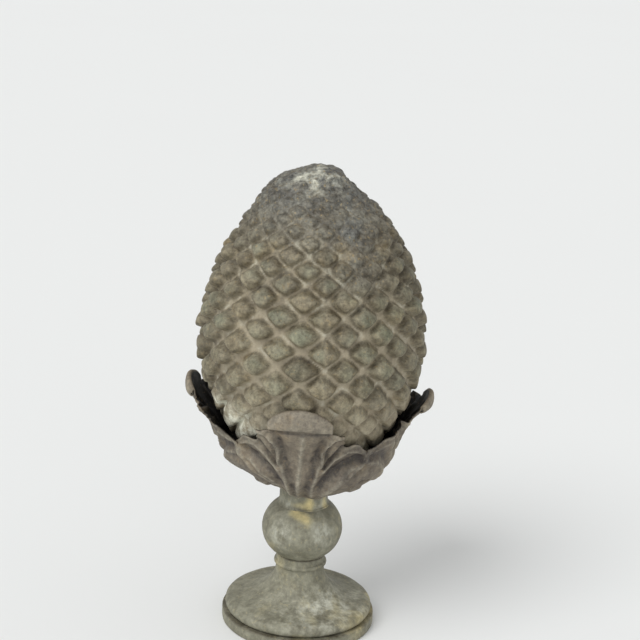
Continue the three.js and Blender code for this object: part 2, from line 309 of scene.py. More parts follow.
# Clouds of tarnish with a mottle, pale oxide bloom, ochre stains and fine speckle
def buildTarnish():
    inputs = [(name, "Color") for name in ("Body", "Dark", "Bloom", "Ochre")]
    inputs += [(name, "Float") for name in ("Size", "Darkening", "Blooming", "Staining", "Speckle")]
    outputs = [("Colour", "Color"), ("Roughness", "Float"), ("Relief", "Float")]
    tree, given, result = newGroup("tarnish", inputs, outputs)
    look = tarnishLook
    place = tree.nodes.new("ShaderNodeTexCoord").outputs["Object"]
    spots = {}
    for name, (finer, detail, roughness) in tarnishSpots.items():
        spots[name] = noiseNode(tree, place, times(tree, given["Size"], finer), detail, roughness)

    darkShare = times(tree, remap(tree, spots["clouds"], look["cloudSpan"]), look["cloudShade"])
    blotched = times(tree, remap(tree, spots["blotches"], look["blotchSpan"]), look["blotchShade"])
    darkShare = plus(tree, plus(tree, darkShare, blotched), given["Darkening"], clamp=True)
    toned = mixColour(tree, darkShare, given["Body"], given["Dark"])
    mottled = remap(tree, spots["mottle"], look["bloomSpan"])
    bloomShare = calc(tree, "MULTIPLY", mottled, given["Blooming"], clamp=True)
    bloomed = mixColour(tree, bloomShare, toned, given["Bloom"])
    fleck = times(tree, remap(tree, spots["flecks"], look["fleckSpan"]), given["Speckle"])
    stainLevel = plus(tree, spots["stains"], times(tree, given["Staining"], look["stainLift"]))
    stainShare = times(tree, remap(tree, stainLevel, look["stainSpan"]), look["stainShare"])
    stainShare = plus(tree, stainShare, times(tree, fleck, look["fleckShare"]), clamp=True)
    stained = mixColour(tree, stainShare, bloomed, given["Ochre"])

    light = remap(tree, spots["mottle"], look["lightSpan"], look["light"])
    grainy = remap(tree, spots["grain"], look["grainSpan"], look["grainLight"])
    light = plus(tree, light, times(tree, grainy, given["Speckle"]))
    pitting = remap(tree, spots["pits"], look["pitSpan"])
    light = minus(tree, light, times(tree, times(tree, pitting, given["Speckle"]), look["pitShade"]))
    shade = tree.nodes.new("ShaderNodeCombineColor")
    for channel in shade.inputs:
        plug(tree, channel, light)
    plug(tree, result["Colour"], mixColour(tree, 1.0, stained, shade.outputs[0], "MULTIPLY"))
    plug(tree, result["Roughness"], remap(tree, spots["mottle"], look["roughSpan"], look["roughness"]))
    relief = times(tree, spots["mottle"], look["mottleHeight"])
    relief = plus(tree, relief, times(tree, spots["grain"], look["grainHeight"]))
    plug(tree, result["Relief"], minus(tree, relief, times(tree, pitting, look["pitDepth"])))
    return tree


tarnish = buildTarnish()


def newMaterial(name):
    material = bpy.data.materials.new(name)
    material.use_nodes = True
    return material, material.node_tree


# Gives a material its tarnish and wires that into its shader
def finishZinc(material, tones, body, dark, darkening, blooming, staining, speckle):
    tree = material.node_tree
    surface = placeGroup(
        tree, tarnish, Body=body, Dark=dark, Bloom=tones["bloom"], Ochre=tones["ochre"], Size=tones["size"],
        Darkening=darkening, Blooming=blooming, Staining=staining, Speckle=speckle,
    )
    shader = tree.nodes["Principled BSDF"]
    shader.inputs["Metallic"].default_value = tones["metallic"]
    plug(tree, shader.inputs["Base Color"], surface["Colour"])
    plug(tree, shader.inputs["Roughness"], surface["Roughness"])
    bumpNode = tree.nodes.new("ShaderNodeBump")
    bumpNode.inputs["Strength"].default_value = tones["bump"]
    bumpNode.inputs["Distance"].default_value = tarnishLook["bumpDistance"]
    plug(tree, bumpNode.inputs["Height"], surface["Relief"])
    plug(tree, shader.inputs["Normal"], bumpNode.outputs["Normal"])
    return material


scaleTones = {
    "body": colour(131, 121, 97),
    "groove": colour(158, 147, 125),
    "shade": colour(74, 65, 49),
    "green": colour(118, 118, 96),
    "top": colour(93, 97, 98),
    "bloom": colour(206, 205, 188),
    "ochre": colour(146, 128, 92),
    "size": 14.0,
    "topShare": 0.85,
    "rimDirtAndShade": 0.28,
    "grooveLight": 0.25,
    "toneMiddle": 0.5,
    "bloomTimes": 1.1,
    "bloomLeast": 0.12,
    "staining": 0.0,
    "speckle": 0.7,
    "speckleInGroove": 0.5,
    "speckleOnTop": 0.35,
    "metallic": 0.12,
    "bump": 0.5,
}


def makeScaleZinc():
    tones = scaleTones
    material, tree = newMaterial("scaleZinc")
    groove, rim, crest, tone, worn, bloom = masksOf(tree, "groove", "rim", "crest", "tone", "worn", "bloom")
    # The groove colour also paints light over the lapped low rows
    body = mixColour(tree, groove, tones["body"], tones["groove"])
    body = mixColour(tree, crest, body, tones["green"])
    body = mixColour(tree, times(tree, worn, tones["topShare"]), body, tones["top"])
    # The rim darkens with dirt above and painted shade below each scale; the tone adds painted shade on the
    # right side
    darkening = plus(tree, times(tree, rim, tones["rimDirtAndShade"]), minus(tree, tone, tones["toneMiddle"]))
    darkening = minus(tree, darkening, times(tree, groove, tones["grooveLight"]))
    blooming = plus(tree, times(tree, bloom, tones["bloomTimes"]), tones["bloomLeast"])
    speckle = minus(tree, tones["speckle"], times(tree, groove, tones["speckleInGroove"]))
    speckle = plus(tree, speckle, times(tree, worn, tones["speckleOnTop"]))
    return finishZinc(material, tones, body, tones["shade"], darkening, blooming, tones["staining"], speckle)


leafTones = {
    "body": colour(134, 123, 106),
    # The rib colour is a painted highlight
    "rib": colour(172, 165, 147),
    # Painted shade colour
    "hollowShade": colour(62, 55, 52),
    # Near black, painted shade with dark patina
    "inside": colour(12, 9, 7),
    "bloom": colour(160, 158, 142),
    "ochre": colour(140, 120, 88),
    "size": 16.0,
    "ribShare": 0.8,
    "hollowDark": 0.68,
    "bloomTimes": 0.9,
    "bloomLeast": 0.12,
    "staining": 0.1,
    "speckle": 0.42,
    "metallic": 0.15,
    "bump": 0.4,
}


def makeLeafZinc():
    tones = leafTones
    material, tree = newMaterial("leafZinc")
    ridgeHighlight, hollowShade, inside, bloom = masksOf(tree, "ridgeHighlight", "hollowShade", "inside", "bloom")
    # Raised strokes, midrib, rim and lip crest take the rib colour as a painted highlight
    body = mixColour(tree, times(tree, ridgeHighlight, tones["ribShare"]), tones["body"], tones["rib"])
    # The cup's inner face is painted near black, as shade with dark patina
    body = mixColour(tree, inside, body, tones["inside"])
    # The dark colour paints shade in the sunk strokes, under the lip, low down and towards the lobes
    dark = mixColour(tree, inside, tones["hollowShade"], tones["inside"])
    outside = minus(tree, 1.0, inside)
    darkening = times(tree, hollowShade, tones["hollowDark"])
    blooming = plus(tree, times(tree, bloom, tones["bloomTimes"]), tones["bloomLeast"])
    blooming = times(tree, outside, blooming)
    staining = times(tree, outside, tones["staining"])
    return finishZinc(material, tones, body, dark, darkening, blooming, staining, tones["speckle"])


baseTones = {
    "body": colour(132, 130, 112),
    "shade": colour(98, 93, 75),
    "bloom": colour(184, 184, 170),
    "ochre": colour(204, 190, 140),
    "joint": colour(70, 64, 50),
    "size": 13.0,
    "jointDark": 0.5,
    "bloomLeast": 0.15,
    "stainLeast": 0.05,
    "speckle": 0.3,
    "metallic": 0.15,
    "bump": 0.35,
}


def makeBaseZinc():
    tones = baseTones
    material, tree = newMaterial("baseZinc")
    stain, joint, bloom = masksOf(tree, "stain", "joint", "bloom")
    body = mixColour(tree, joint, tones["body"], tones["joint"])
    darkening = times(tree, joint, tones["jointDark"])
    blooming = plus(tree, bloom, tones["bloomLeast"])
    staining = plus(tree, stain, tones["stainLeast"])
    return finishZinc(material, tones, body, tones["shade"], darkening, blooming, staining, tones["speckle"])


scaleZinc = makeScaleZinc()
leafZinc = makeLeafZinc()
baseZinc = makeBaseZinc()
print("materials ready")


# The cone of scales. Its profile, cap and dent are in shares of its height, and its widths of its radius.
# Angles are from the front, and other spans are heights above the cup's floor.
coneLook = {
    "radius": 105,
    "shape": [
        (0, 0.225), (0.032, 0.34), (0.109, 0.515), (0.2, 0.735), (0.306, 0.9), (0.427, 0.997),
        (0.546, 0.982), (0.665, 0.892), (0.77, 0.755), (0.862, 0.588), (0.93, 0.405), (0.98, 0.2), (1, 0),
    ],
    "shapeSteps": 241,
    "normalShare": 1 / 60,
    "gridRound": 330,
    "gridUp": 286,
    "scalesRound": 15,
    "heightToWidth": 0.755,
    "anchorShare": 0.516,
    "ringsFrom": 12,
    "ringsEndBefore": 2.5,
    "firstColumn": 7,
    "seamColumn": 2,
    "seamNarrows": 5.76,
    "seamReach": 2,
    "wander": (60, 3, 3, 0.035),
    "seed": 11,
    "chances": 64,
    "lapSpan": (95, 150),
    "wornSpan": (245, 325),
    "highSpan": (180, 260),
    "streakAngle": 30,
    "streakReach": 17,
    "streakFrom": (225, 250),
    "streakTo": (285, 305),
    "streakShare": 0.6,
    "wornRelief": 0.42,
    "hammer": (17, 5, 3, 1),
    "hammerShares": (0.4, 2.2),
    "fineHammer": (5.5, 8, 2, 1),
    "fineHammerShares": (0.25, 0.6),
    "capSpan": (0.965, 0.99),
    "reliefStarts": (6, 30),
    "relief": 0.08,
    "proudSpan": (100, 140),
    "proudShare": 0.2,
    "leftAngle": -92,
    "leftReach": 28,
    "leftSpan": (110, 150),
    "leftProudShare": 0.45,
    "leftSink": 3.2,
    "solderWander": (22, 9, 3, 2),
    "solderWidth": 2.6,
    "solderSpan": (235, 250),
    "solderLeast": 1.4,
    "solderFill": 0.7,
    "solderHeight": 0.5,
    "dentPush": 7,
    "dentShare": 0.944,
    "dentReach": 0.077,
}

# A scale's form. Its edge runs from 0 at the groove's middle to 1 at its own middle, its side up from -1 at
# its lower corner to 1 at its upper one, and spreads are how far one scale differs from the next.
scaleForm = {
    "cornerPower": 5.2,
    "sizeSpread": 0.07,
    "edgeWave": (12, 12, 2, 0.13),
    "groove": 0.085,
    "grooveWhereLapped": 0.45,
    "grooveWhereHigh": 0.5,
    "grooveSpread": 0.15,
    "flank": (0.3, 0.6),
    "flankSpan": (-0.4, 0.5),
    "peakSpan": (0.95, -0.3),
    "lowerDrop": 0.3,
    "lowerSpan": (-0.3, -0.85),
    "sideDrop": 0.55,
    "base": 0.5,
    "slantSpread": 0.12,
    "tiltSpread": 0.1,
    "shingleGroove": 0.6,
    "shingleFlank": 0.2,
    "shingleHeight": 0.8,
    "shingleSlope": 0.5,
    "shingleShare": 0.6,
    "heightSpread": 0.1,
}

# How the masks of the scales' tarnish, painted shade and painted light follow that form
scaleMarks = {
    "rimOuter": (-0.06, 0.1),
    "rimInner": (0.1, 0.55),
    "rimLeast": 0.45,
    "rimSpan": (-0.5, 0.4),
    "rimWear": 0.6,
    "upperSpan": (-0.3, 0.5),
    "upperFlank": 0.2,
    "grooveInner": 0.7,
    "grooveOuter": 0.18,
    "grooveHigh": 0.45,
    "grooveWear": 0.7,
    "paintedLightOnLapped": 0.6,
    "tint": 0.5,
    "tintWave": (34, 16, 3, 1.1),
    "tintSpread": 0.35,
    "crestEdge": 0.8,
    "crestSpan": (60, 200),
    "paleLine": (0.02, 0.09),
    "paleLineWave": (16, 17, 3, 1),
    "paleLineSpan": (-0.1, 0.3),
    "paleLineShare": 0.4,
    "tone": 0.44,
    "toneSpread": 0.16,
    "shadeOnRight": 0.1,
    "toneRightSpan": (10, 80),
    "lightOnLapped": -0.28,
    "toneUpper": 0.2,
    "toneHigh": 0.14,
    "bloomEdge": (0.12, 0.4),
}

# Pale oxide lies in soft patches along the left leaf's edge, most between the scales, low on the right and
# on the tip
coneBloom = {
    # The left patch is real pale oxide, also brightened as painted light where the low left faces away from
    # the lamps
    "left": (-50, 22, 80, 19, 4),
    "leftOnScale": 1.5,
    "leftEdgeAngle": -35,
    "leftEdgeSlope": 0.45,
    "right": (34, 16, 64, 13, 1.2),
    "tip": (-5, 42, 332, 9, 1.2),
    "least": 0.85,
    "wave": (18, 14, 3, 0.6),
    "most": 2,
}


# Column number of an angle. The sheet is cut short at the front seam and let out again at the back one.
def columnAt(angle):
    look = coneLook
    turn = 180 / look["scalesRound"]
    front, reach, narrows = look["seamColumn"], look["seamReach"], look["seamNarrows"]
    behind = front + look["scalesRound"]
    columns = np.arange(-1, 2 * look["scalesRound"] + 1)
    angles = look["firstColumn"] + columns * turn
    stops = (front - reach, front + reach, behind - reach, behind + reach)
    shift = np.interp(columns, stops, (0, narrows, narrows, 0))
    return np.interp(angle, angles - shift, columns)


# Ring number of a distance along the outline. Rings step up and down from mid height by the local radius.
def ringAt(distance, line):
    look = coneLook
    pitch = math.pi / look["scalesRound"] * look["heightToWidth"]
    rings = [float(line.distanceAt(blend(coneBottom, coneApex, look["anchorShare"])))]
    while rings[0] > look["ringsFrom"]:
        rings.insert(0, rings[0] - pitch * float(line.point(rings[0])[0]))
    below = len(rings) - 1
    while rings[-1] < line.length - look["ringsEndBefore"]:
        rings.append(rings[-1] + pitch * float(line.point(rings[-1])[0]))
    return np.interp(distance, rings, np.arange(len(rings)) - below)


# Height of a scale's form, from a dome in the upper rows to a lapping shingle in the lower ones
def scaleHeight(edge, groove, sideUp, across, lapping, slant, tilt, height):
    form = scaleForm
    flank = groove + blend(*form["flank"], smooth(sideUp, *form["flankSpan"]))
    peak = smooth(sideUp, *form["peakSpan"]) * (1 - form["lowerDrop"] * smooth(sideUp, *form["lowerSpan"]))
    peak = peak * (1 - form["sideDrop"] * across**2)
    dome = smooth(edge, groove, flank) * blend(form["base"], 1, peak)
    dome = dome * (1 + form["slantSpread"] * slant * across + form["tiltSpread"] * tilt * sideUp)
    shingle = smooth(edge, groove * form["shingleGroove"], groove + form["shingleFlank"])
    shingle = shingle * (form["shingleHeight"] - form["shingleSlope"] * sideUp)
    return blend(dome, shingle, form["shingleShare"] * lapping) * (1 + form["heightSpread"] * height)


def makeCone():
    look, form, marks = coneLook, scaleForm, scaleMarks
    height = coneApex - coneBottom
    shape = [(out * look["radius"], coneBottom + up * height) for up, out in look["shape"]]
    line = Outline(curveThrough(shape, look["shapeSteps"]))
    angle = np.arange(look["gridRound"]) * 360 / look["gridRound"] + look["firstColumn"]
    angle, distance = np.meshgrid(angle, np.linspace(0, line.length, look["gridUp"]))
    radius, level = line.point(distance)
    outX, outZ = line.normal(distance, look["normalShare"])
    up = (level - coneBottom) / height
    aboveCup = level - cupFloor
    turned = fromFront(angle)
    flat = around(radius, angle, level)

    # Each point's scale, its place on it and how far it is from the scale's edge
    column, ring = columnAt(angle), ringAt(distance, line)
    wander = wave(flat, look["wander"])
    p = (column + ring) / 2 + wander
    q = (column - ring) / 2 - wander
    scaleP, scaleQ = np.round(p).astype(int), np.round(q).astype(int)
    dp, dq = p - scaleP, q - scaleQ
    sideUp, across = dp - dq, dp + dq
    chance = np.random.default_rng(look["seed"]).random((6, look["chances"], look["chances"])) * 2 - 1
    own = chance[:, scaleP % look["chances"], scaleQ % look["scalesRound"]]
    ownSize, ownGroove, ownSlant, ownTilt, ownHeight, ownTone = own
    power = form["cornerPower"]
    fromMiddle = (np.abs(dp) ** power + np.abs(dq) ** power) ** (1 / power)
    edge = 1 - 2 * fromMiddle * (1 + form["sizeSpread"] * ownSize) + wave(flat, form["edgeWave"])

    # Low rows lap like fish scales, and high ones are worn smooth, most of all on the upper right
    lapping = fadeOut(aboveCup, *look["lapSpan"])
    streak = swell(turned - look["streakAngle"], look["streakReach"]) * smooth(aboveCup, *look["streakFrom"])
    streak = streak * fadeOut(aboveCup, *look["streakTo"]) * look["streakShare"]
    worn = np.clip(smooth(aboveCup, *look["wornSpan"]) + streak, 0, 1)
    high = smooth(aboveCup, *look["highSpan"])
    groove = form["groove"] * (1 - form["grooveWhereLapped"] * lapping)
    groove = groove * (1 - form["grooveWhereHigh"] * high) * (1 + form["grooveSpread"] * ownGroove)
    bump = scaleHeight(edge, groove, sideUp, across, lapping, ownSlant, ownTilt, ownHeight)
    hammer = wave(flat, look["hammer"]) * blend(*look["hammerShares"], worn)
    hammer = hammer + wave(flat, look["fineHammer"]) * blend(*look["fineHammerShares"], worn)
    bump = bump * blend(1, look["wornRelief"], worn) * fadeOut(up, *look["capSpan"])
    inCup = smooth(level - coneBottom, *look["reliefStarts"])

    # Scales above the cup stand out further, most of all on the left, where their grooves sink
    onLeft = swell(turned - look["leftAngle"], look["leftReach"]) * smooth(aboveCup, *look["leftSpan"])
    onLeft = onLeft * (1 - worn)
    proud = 1 + look["proudShare"] * smooth(aboveCup, *look["proudSpan"]) * (1 - worn)
    proud = proud * (1 + look["leftProudShare"] * onLeft)
    relief = (look["relief"] * radius * bump * proud + hammer) * inCup - look["leftSink"] * onLeft

    # The soldered seam stands a little proud down the front right
    seamTurn = look["seamColumn"] * 180 / look["scalesRound"]
    seamAngle = look["firstColumn"] + seamTurn - look["seamNarrows"] / 2
    fromSeam = np.radians(turned - seamAngle) * radius + wave(flat, look["solderWander"])
    onSeam = swell(fromSeam, look["solderWidth"]) * fadeOut(aboveCup, *look["solderSpan"])
    relief = blend(relief, np.maximum(relief, look["solderLeast"]), onSeam * look["solderFill"])
    relief = relief + look["solderHeight"] * onSeam

    # The tip is pushed over to the left
    points = around(radius + outX * relief, angle, level + outZ * relief)
    push = look["dentPush"] * swell(up - look["dentShare"], look["dentReach"])
    points[..., 0] -= push * fadeOut(up, look["dentShare"], 1)

    # The rim is dirt along each scale's upper edge and painted shade along its lower edge
    rim = fadeOut(edge - groove, *marks["rimInner"]) * smooth(edge - groove, *marks["rimOuter"])
    rim = rim * blend(marks["rimLeast"], 1, smooth(sideUp, *marks["rimSpan"]))
    upper = smooth(sideUp, *marks["upperSpan"]) * smooth(edge, groove, groove + marks["upperFlank"])
    grooved = fadeOut(edge, groove * marks["grooveInner"], groove + marks["grooveOuter"])
    grooved = grooved * (1 - marks["grooveHigh"] * high) * (1 - marks["grooveWear"] * worn)
    tint = marks["tint"] + wave(flat, marks["tintWave"]) + marks["tintSpread"] * ownGroove
    crest = tint * smooth(edge, groove, marks["crestEdge"]) * (1 - worn)
    crest = crest * smooth(aboveCup, *marks["crestSpan"])
    paleLine = smooth(wave(flat, marks["paleLineWave"]), *marks["paleLineSpan"]) * (1 - worn)
    paleLine = paleLine * fadeOut(edge, *marks["paleLine"])
    # Tone: random per scale, darker from patina high up and on upper flanks, painted darker as shade on the
    # right side and painted lighter as light on the lapped low rows
    tone = marks["tone"] + marks["toneSpread"] * ownTone + marks["lightOnLapped"] * lapping
    tone = tone + marks["shadeOnRight"] * smooth(turned, *marks["toneRightSpan"])
    tone = tone + marks["toneUpper"] * upper + marks["toneHigh"] * high
    bloom = bloomOnCone(points, turned, aboveCup, smooth(edge, *marks["bloomEdge"]))
    # The groove mask also paints light over the lapped low rows
    masks = {
        "groove": np.maximum(grooved, marks["paintedLightOnLapped"] * lapping),
        "rim": rim * (1 - marks["rimWear"] * worn),
        "crest": np.clip(crest, 0, 1),
        "tone": tone,
        "worn": worn,
        "bloom": bloom + marks["paleLineShare"] * paleLine,
    }
    ends = [points[-1].mean(axis=0), (0, 0, coneBottom)]
    tipMasks = {name: values[-1, 0] for name, values in masks.items()}
    masks = {name: values[:-1] for name, values in masks.items()}
    piece = makeRoundPiece("pineconeShell", points[:-1], masks, ends, tipMasks, scaleZinc)
    fitPiece(piece, "pinecone")


def bloomOnCone(points, turned, aboveCup, onScale):
    look = coneBloom
    angle, reach, low, halfHeight, share = look["left"]
    alongEdge = low - look["leftEdgeSlope"] * (turned - look["leftEdgeAngle"])
    left = (angle, reach, alongEdge, halfHeight, share - look["leftOnScale"] * onScale)
    patches = sum(softPatch(turned, aboveCup, place) for place in (left, look["right"], look["tip"]))
    return np.clip(patches * (look["least"] + wave(points, look["wave"])), 0, look["most"])


makeCone()


# The leaves. Heights are above the cup's floor, rises are above the bowl's widest part, and turns are from
# a leaf's middle. These values are for the front, right, back and left leaf. A way is the side of a leaf on
# which something lies: 1 for its right, -1 for its left and 0 for neither.
ownLooks = {
    "squareness": (1.65, 1.65, 1.65, 1.3),
    "bend": (7, -1.7, 0, -1.2),
    "lipHalfAngle": (16.8, 12, 15, 12),
    "lipShare": (1, 0.82, 0.95, 0.9),
    "shoulderRise": (49.5, 43, 48, 47),
    "shoulderFold": (0, 7, 2, 5),
    "likeLeftWay": (-1, 0, 1, 0),
    "farWay": (0, 1, 0, -1),
    "lowDent": (7, 0, 0, 0),
    "pull": (0, 5, 0, 0),
    "onTop": (True, False, True, False),
}

# These are for all four
leafLook = {
    "sheet": 1.4,
    "neckGap": 0.3,
    "gridAcross": 150,
    "gridUp": 175,
    "bowlRadius": 88.5,
    "bowlDepth": 49,
    "likeLeftSpan": (17, 38),
    "flareRadius": 116.5,
    "flareRise": 48,
    "flareUpright": 0.42,
    "flareLean": (0.3, 0.62),
    "lip": [
        (1.3, 56), (2.8, 64), (4.6, 72), (6.6, 70.4), (7.6, 66), (8, 61), (7.4, 56.5), (5.6, 53.4),
        (3.2, 52.2), (1.7, 53),
    ],
    "lipCrest": 2,
    "lipFoot": 52,
    "outlineSteps": {"bowl": 40, "flare": 30, "tongue": 12, "bead": 30},
    "lipEnds": 0.25,
    "lipSlack": 1.2,
    "lipRoundness": 0.6,
    "lipStep": (-0.6, 0.4),
    "shoulderFoldTurn": 18,
    "shoulderFoldReach": 6,
    "shoulderFoldSpan": (20, 45),
    "shoulderDrop": 3,
    "shoulderSpan": (14.8, 24),
    "farSpan": (0, 6),
    "farShoulderRise": 53,
    "lobeRises": (35, 24),
    "lobeSpan": (34, 45),
    "lobeStep": (23.2, 25.6),
    "lobeFold": 8,
    "lobeFoldPower": 1.5,
    "lobeFoldSpan": (-7, 57),
    "wobble": 3,
    "wobbleEvery": 6,
    "wobbleSeed": 5.3,
    "lowDentPlace": (-33, 16, 31, 15),
    "pullRise": 42,
    "pullHalfHeight": 11,
    "cupTurn": -3.4,
    "halfTurn": 45,
    "narrowHalfTurn": 20,
    "narrowSpan": (25, 70),
    "tuck": 2.5,
    "lapLift": 1.9,
    "tuckedLift": -0.6,
    "lapWidth": 9,
    "lapSpan": (60, 80),
    "edgeMargin": 0.05,
}

# Stamped strokes, the same on a leaf's left and right: half width, height of relief and points of
# (distance from the leaf's middle, height)
leafStrokes = [
    (4.4, -2.4, [(4, 10), (7, 32), (13.5, 57), (19, 82), (24, 100)]),
    (2.6, 1.7, [(10, 14), (14, 38), (18, 56), (23, 72), (27, 84), (32, 98)]),
    (1.9, 3.2, [(22, 57), (20.5, 68), (21, 78), (25, 87), (31, 93), (39, 98), (46, 97)]),
    (1.9, -3.2, [(25, 66), (25, 77), (29, 86), (36, 92), (44, 94)]),
    (2.0, -3.4, [(22, 56), (28, 67), (36, 77), (45, 86)]),
    (2.4, 2.8, [(21, 50), (33, 69), (48, 78), (60, 76), (71, 68)]),
    (4.6, -3.6, [(16, 30), (26, 47), (34, 56), (46, 63), (60, 67), (70, 67)]),
    (3.0, 2.4, [(17, 24), (31, 36), (42, 47), (52, 56), (66, 59), (78, 66)]),
    (2.2, -4, [(50, 35), (58, 33), (66, 37)]),
    (2.8, 2.6, [(48, 28), (58, 25), (70, 31)]),
]
midrib = {"across": (-3, 3), "heights": (4, 104), "width": 2.3, "relief": 2.4, "swayShare": 0.4}

# How the stamping fades and wanders, and where it takes painted shade and painted highlights
stamping = {
    "sway": (30, 20, 2, 2.2),
    "hammer": (14, 30, 3, 0.45),
    "least": 0.4,
    "startSpan": (1, 16),
    "endSpan": (46, 60),
    "strokeStart": (-0.02, 0.12),
    "strokeEnd": (0.9, 1),
    "strokeEndDrop": 0.8,
    "rimInset": 1.5,
    "rimWidth": 2.6,
    "rimHeight": 1.6,
    "rimStart": (6, 20),
    "rimEnd": (56, 62),
    "rimTone": 0.5,
    "crestTone": 0.5,
    "crestReach": 2,
    "insideFrom": -2,
    "insideTo": -0.5,
    "underLipWidth": 2.2,
    "underLipSpan": (14, 17),
    "undersideShade": 0.55,
    "undersideSpan": (4, 26),
    "middleLight": 0.35,
    "middleReach": 15,
    "lobeShade": 0.3,
    "lobeDarkSpan": (18, 32),
}

# Pale oxide low on the left, as for the cone
leafBloom = {"low": (-45, 22, 78, 16, 1), "least": 0.35, "wave": (14, 41, 3, 0.5)}


def leafOutline(bend, squareness):
    look = leafLook
    steps = look["outlineSteps"]
    start = neckRadius + look["neckGap"] + look["sheet"]
    power = 2 / squareness
    widest = cupFloor + look["bowlDepth"]
    firstAngle = math.asin((start / look["bowlRadius"]) ** (1 / power))
    angle = np.linspace(firstAngle, math.pi / 2, steps["bowl"])
    drop = look["bowlDepth"] * np.maximum(np.cos(angle), 0) ** power
    bowl = np.stack((look["bowlRadius"] * np.sin(angle) ** power, widest - drop), axis=1)

    hinge = np.array((look["bowlRadius"], widest))
    turn = math.radians(bend)
    spin = np.array(((math.cos(turn), math.sin(turn)), (-math.sin(turn), math.cos(turn))))

    def bent(points):
        return (np.array(points, float) - hinge) @ spin + hinge

    rise = look["flareRise"]
    leanIn, leanUp = look["flareLean"]
    flareTop = (look["flareRadius"], widest + rise)
    lean = (look["flareRadius"] - rise * leanIn, widest + rise * leanUp)
    upright = np.array((look["bowlRadius"], widest + rise * look["flareUpright"]))
    controls = [hinge, upright, *bent([lean, flareTop])]
    t = np.linspace(0, 1, steps["flare"])[1:, None]
    weights = [(1 - t) ** 3, 3 * t * (1 - t) ** 2, 3 * t**2 * (1 - t), t**3]
    flare = sum(weight * control for weight, control in zip(weights, controls))
    lip = [(look["flareRadius"] + out, widest + up) for out, up in look["lip"]]
    crest = look["lipCrest"]
    tongue = curveThrough([flareTop, *lip[: crest + 1]], steps["tongue"])[1:]
    bead = curveThrough(lip[crest:], steps["bead"])[1:]
    return Outline(np.concatenate((bowl, flare, bent(tongue), bent(bead))))


# How far up its outline a leaf reaches at a turn from its middle: its lip, its shoulders, then its lobes
def leafReach(own, line, turn, wobble):
    look = leafLook
    off = np.abs(turn)
    widest = cupFloor + look["bowlDepth"]
    far = smooth(turn * own["farWay"], *look["farSpan"])
    shoulderRise = blend(own["shoulderRise"], look["farShoulderRise"], far)
    shoulderRise = shoulderRise + look["shoulderDrop"] * fadeOut(off, *look["shoulderSpan"])
    lobeRise = blend(*look["lobeRises"], smooth(off, *look["lobeSpan"])) + wobble
    lipStep = smooth(off - own["lipHalfAngle"], *look["lipStep"])
    reach = blend(line.length, line.distanceAt(widest + shoulderRise), lipStep)
    return blend(reach, line.distanceAt(widest + lobeRise), smooth(off, *look["lobeStep"]))


# Distance of points from a stroke, and how far along the stroke that is
def distanceToWay(across, along, way):
    nearest = np.full(across.shape, np.inf)
    alongWay = np.zeros(across.shape)
    total = sum(math.dist(a, b) for a, b in zip(way, way[1:]))
    walked = 0
    for (x0, y0), (x1, y1) in zip(way, way[1:]):
        dx, dy = x1 - x0, y1 - y0
        length = math.hypot(dx, dy)
        share = np.clip(((across - x0) * dx + (along - y0) * dy) / length**2, 0, 1)
        gap = np.hypot(across - x0 - share * dx, along - y0 - share * dy)
        closer = gap < nearest
        nearest = np.where(closer, gap, nearest)
        alongWay = np.where(closer, (walked + share * length) / total, alongWay)
        walked += length
    return nearest, alongWay


# Relief of the strokes, with masks for painted highlights on the raised ones and painted shade in the sunk
# ones
def stampStrokes(line, across, distance):
    relief, ridgeHighlight, hollowShade = np.zeros((3, *distance.shape))
    for width, height, points in leafStrokes:
        way = [(x, float(line.distanceAt(cupFloor + z))) for x, z in points]
        gap, share = distanceToWay(across, distance, way)
        taper = 1 - stamping["strokeEndDrop"] * smooth(share, *stamping["strokeEnd"])
        mark = swell(gap, width) * smooth(share, *stamping["strokeStart"]) * taper
        relief += height * mark
        if height > 0:
            ridgeHighlight = np.maximum(ridgeHighlight, mark * smooth(gap, width, 0))
        else:
            hollowShade = np.maximum(hollowShade, mark)
    return relief, ridgeHighlight, hollowShade


# Faces of a sheet of two layers, closed along the outer edges of the cells that it covers
def sheetFaces(cells, index):
    faces = []
    filled = np.pad(cells, 1)
    for i, j in zip(*np.nonzero(cells)):
        corners = [(i, j), (i, j + 1), (i + 1, j + 1), (i + 1, j)]
        neighbours = (filled[i, j + 1], filled[i + 1, j + 2], filled[i + 2, j + 1], filled[i + 1, j])
        faces.append([index[0][corner] for corner in corners])
        faces.append([index[1][corner] for corner in (corners[0], corners[3], corners[2], corners[1])])
        for start, end, covered in zip(corners, corners[1:] + corners[:1], neighbours):
            if not covered:
                faces.append([index[0][start], index[1][start], index[1][end], index[0][end]])
    return np.array(faces)


